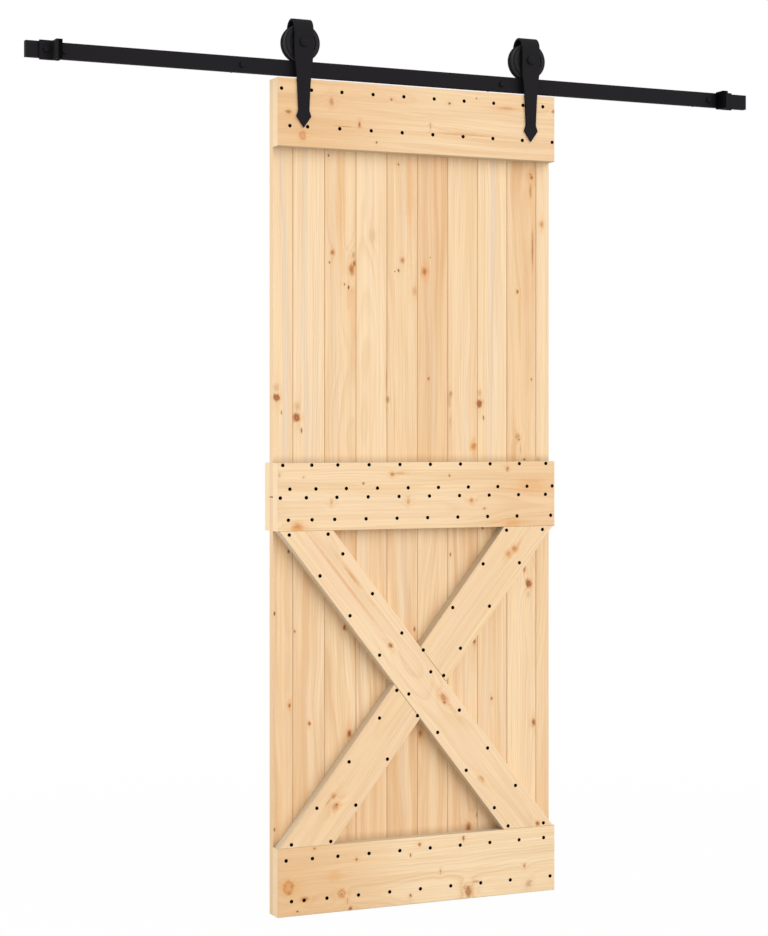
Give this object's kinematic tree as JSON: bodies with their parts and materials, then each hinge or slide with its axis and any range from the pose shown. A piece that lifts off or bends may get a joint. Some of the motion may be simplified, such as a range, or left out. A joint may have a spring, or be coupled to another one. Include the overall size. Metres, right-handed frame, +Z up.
{
  "type": "sliding door",
  "caption": "Pine plank door with rails and crossed braces, hung on grooved wheels from a black flat-bar wall track with end stops.",
  "frame": {"origin": "under the middle of the track, level with the leaf's foot, halfway through the whole depth", "axes": "+X along the track to the right seen from the room, +Y into the wall, +Z up"},
  "size_m": [2.005, 0.143, 2.2102],
  "materials": {
    "plank_pine": "planed, bare",
    "rail_pine": "planed, bare",
    "brace_pine": "planed, bare",
    "black_screw": "black phosphate",
    "black_steel": "satin powder coat",
    "black_wheel": "satin powder coat",
    "black_rubber": "matte",
    "bush_bronze": "machined"
  },
  "bodies": {
    "track": {"track": "black_steel", "wall_spacers": "black_steel", "wall_bolts": "black_steel", "stop_bracket_left": "black_steel", "stop_bracket_right": "black_steel", "stop_pad_left": "black_rubber", "stop_pad_right": "black_rubber", "stop_bolts": "black_steel", "stop_nuts": "black_steel"},
    "door": {"plank_upper_01": "plank_pine", "plank_upper_02": "plank_pine", "plank_upper_03": "plank_pine", "plank_upper_04": "plank_pine", "plank_upper_05": "plank_pine", "plank_upper_06": "plank_pine", "plank_upper_07": "plank_pine", "plank_upper_08": "plank_pine", "plank_upper_09": "plank_pine", "plank_upper_10": "plank_pine", "plank_lower_01": "plank_pine", "plank_lower_02": "plank_pine", "plank_lower_03": "plank_pine", "plank_lower_04": "plank_pine", "plank_lower_05": "plank_pine", "plank_lower_06": "plank_pine", "plank_lower_07": "plank_pine", "plank_lower_08": "plank_pine", "plank_lower_09": "plank_pine", "plank_lower_10": "plank_pine", "top_rail": "rail_pine", "middle_rail": "rail_pine", "bottom_rail": "rail_pine", "splice_board": "rail_pine", "brace_full": "brace_pine", "brace_half_upper": "brace_pine", "brace_half_lower": "brace_pine", "top_rail_screws": "black_screw", "middle_rail_screws": "black_screw", "bottom_rail_screws": "black_screw", "brace_screws": "black_screw", "hanger_strap_left": "black_steel", "hanger_strap_right": "black_steel", "strap_bolts": "black_steel", "strap_washers": "black_steel", "strap_nuts": "black_steel", "axle_bolts": "black_steel", "axle_nuts": "black_steel", "axle_rings": "black_steel"},
    "wheel_left": {"wheel_left": "black_wheel", "wheel_bush_left": "bush_bronze"},
    "wheel_right": {"wheel_right": "black_wheel", "wheel_bush_right": "bush_bronze"}
  },
  "joints": [
    {"name": "door_slide", "type": "slide", "parent": "track", "child": "door", "axis": [1, 0, 0], "range_m": [-0.5926, 0.5539]},
    {"name": "wheel_left_spin", "type": "hinge", "parent": "door", "child": "wheel_left", "pos_m": [-0.3072, -0.0285, 2.1502], "axis": [0, 1, 0], "continuous": true},
    {"name": "wheel_right_spin", "type": "hinge", "parent": "door", "child": "wheel_right", "pos_m": [0.3275, -0.0285, 2.1502], "axis": [0, 1, 0], "continuous": true}
  ],
  "couplings": [
    {"joint": "wheel_left_spin", "follows": "door_slide", "rad_per_m": 22.573},
    {"joint": "wheel_right_spin", "follows": "door_slide", "rad_per_m": 22.573}
  ]
}
